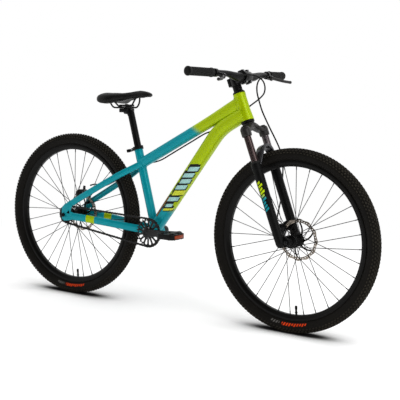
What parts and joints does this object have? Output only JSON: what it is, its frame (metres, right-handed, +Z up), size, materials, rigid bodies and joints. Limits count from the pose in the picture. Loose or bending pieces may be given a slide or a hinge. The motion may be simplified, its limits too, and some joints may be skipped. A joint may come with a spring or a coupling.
{
  "type": "dirt jump bicycle",
  "caption": "Dirt jump bicycle with suspension fork, disc brakes, single-speed chain drive, knobbly tyres, low saddle and wide bar; teal frame fading to lime at the head tube.",
  "frame": {"origin": "On the ground, halfway between the wheel axles, in the plane of the wheels.", "axes": "+X is forward, towards the front wheel. +Y is the rider's left. +Z is up."},
  "size_m": [1.764, 0.678, 0.9746],
  "materials": {
    "teal": "gloss teal enamel over alloy tube",
    "lime": "gloss lime enamel over alloy tube",
    "black_alloy": "satin black anodised alloy",
    "graphite": "satin dark grey paint",
    "steel": "bright machined steel",
    "tyre": "matt black tyre rubber",
    "rubber": "soft matt black rubber",
    "cover": "matt black synthetic saddle cover",
    "housing": "gloss black cable housing"
  },
  "bodies": {
    "frame": {"head_tube": "lime", "top_tube": "teal", "down_tube": "lime", "seat_tube": "teal", "bottom_bracket_shell": "teal", "right_chainstay": "teal", "left_chainstay": "teal", "right_seatstay": "teal", "left_seatstay": "teal", "upper_headset_cup": "black_alloy", "lower_headset_cup": "black_alloy", "seat_collar": "black_alloy", "rear_brake_caliper": "black_alloy", "rear_brake_cable": "housing", "rear_brake_loop": "housing", "chain": "black_alloy", "rear_axle": "black_alloy", "bottom_bracket": "black_alloy"},
    "collar_lever": {"seat_collar_lever": "black_alloy"},
    "rear_arm": {"rear_caliper_arm": "steel"},
    "rear_wheel": {"rear_tyre": "tyre", "rear_rim": "black_alloy", "rear_hub": "black_alloy", "rear_rotor": "steel"},
    "freewheel": {"freewheel": "black_alloy"},
    "crankset": {"chainring": "black_alloy", "crank_spindle": "steel", "right_crank": "black_alloy", "left_crank": "black_alloy", "right_pedal_axle": "steel", "left_pedal_axle": "steel"},
    "right_pedal": {"right_pedal": "black_alloy"},
    "left_pedal": {"left_pedal": "black_alloy"},
    "steering": {"fork_crown": "graphite", "right_stanchion": "graphite", "left_stanchion": "graphite", "stem": "black_alloy", "stem_faceplate": "black_alloy", "top_cap": "black_alloy", "headset_spacer": "black_alloy", "handlebar": "black_alloy", "right_grip": "rubber", "left_grip": "rubber", "right_lever_bracket": "black_alloy", "left_lever_bracket": "black_alloy", "front_brake_cable": "housing"},
    "right_lever": {"right_brake_lever": "graphite"},
    "left_lever": {"left_brake_lever": "graphite"},
    "fork_lower": {"fork_sliders": "black_alloy", "front_brake_caliper": "black_alloy", "front_axle": "black_alloy"},
    "front_arm": {"front_caliper_arm": "steel"},
    "front_wheel": {"front_tyre": "tyre", "front_rim": "black_alloy", "front_hub": "black_alloy", "front_rotor": "steel"},
    "seat": {"seatpost": "black_alloy", "saddle_clamp": "black_alloy", "saddle_rails": "black_alloy", "saddle": "cover"}
  },
  "joints": [
    {"name": "steering", "type": "hinge", "parent": "frame", "child": "steering", "pos_m": [0.29778, 0, 0.83061], "axis": [-0.3778, 0, 0.9259], "range_deg": [-70, 70], "deforming": ["rear_brake_loop"]},
    {"name": "fork_travel", "type": "slide", "parent": "steering", "child": "fork_lower", "axis": [-0.3778, 0, 0.9259], "range_m": [0, 0.07], "stiffness_N_per_m": 6000, "springref_m": -0.015, "deforming": ["front_brake_cable"]},
    {"name": "front_wheel", "type": "hinge", "parent": "fork_lower", "child": "front_wheel", "pos_m": [0.537, 0, 0.345], "axis": [0, 1, 0], "continuous": true},
    {"name": "rear_wheel", "type": "hinge", "parent": "frame", "child": "rear_wheel", "pos_m": [-0.537, 0, 0.345], "axis": [0, 1, 0], "continuous": true},
    {"name": "crank", "type": "hinge", "parent": "frame", "child": "crankset", "pos_m": [-0.1, 0, 0.312], "axis": [0, 1, 0], "continuous": true, "deforming": ["chain"]},
    {"name": "freewheel", "type": "hinge", "parent": "frame", "child": "freewheel", "pos_m": [-0.537, 0, 0.345], "axis": [0, 1, 0], "continuous": true},
    {"name": "right_pedal", "type": "hinge", "parent": "crankset", "child": "right_pedal", "pos_m": [0.06935, 0, 0.32682], "axis": [0, 1, 0], "continuous": true},
    {"name": "left_pedal", "type": "hinge", "parent": "crankset", "child": "left_pedal", "pos_m": [-0.26935, 0, 0.29718], "axis": [0, 1, 0], "continuous": true},
    {"name": "right_lever", "type": "hinge", "parent": "steering", "child": "right_lever", "pos_m": [0.31612, -0.172, 0.94468], "axis": [-0.342, 0, -0.9397], "range_deg": [0, 22], "stiffness_Nm_per_rad": 0.4, "springref_deg": -11.46},
    {"name": "left_lever", "type": "hinge", "parent": "steering", "child": "left_lever", "pos_m": [0.31612, 0.172, 0.94468], "axis": [0.342, 0, 0.9397], "range_deg": [0, 22], "stiffness_Nm_per_rad": 0.4, "springref_deg": -11.46},
    {"name": "rear_arm", "type": "hinge", "parent": "frame", "child": "rear_arm", "pos_m": [-0.54766, 0.07, 0.42455], "axis": [0, 1, 0], "range_deg": [0, 24.2]},
    {"name": "front_arm", "type": "hinge", "parent": "fork_lower", "child": "front_arm", "pos_m": [0.45918, 0.056, 0.36465], "axis": [0, 1, 0], "range_deg": [0, 24.2]},
    {"name": "seatpost_height", "type": "slide", "parent": "frame", "child": "seat", "axis": [-0.284, 0, 0.9588], "range_m": [-0.12, 0.05]},
    {"name": "collar_lever", "type": "hinge", "parent": "frame", "child": "collar_lever", "pos_m": [-0.22545, 0.0133, 0.63987], "axis": [0.284, 0, -0.9588], "range_deg": [0, 120]}
  ],
  "couplings": [
    {"joint": "freewheel", "follows": "crank", "ratio": 1.5556},
    {"joint": "rear_arm", "follows": "right_lever", "ratio": 1.1},
    {"joint": "front_arm", "follows": "left_lever", "ratio": 1.1}
  ]
}
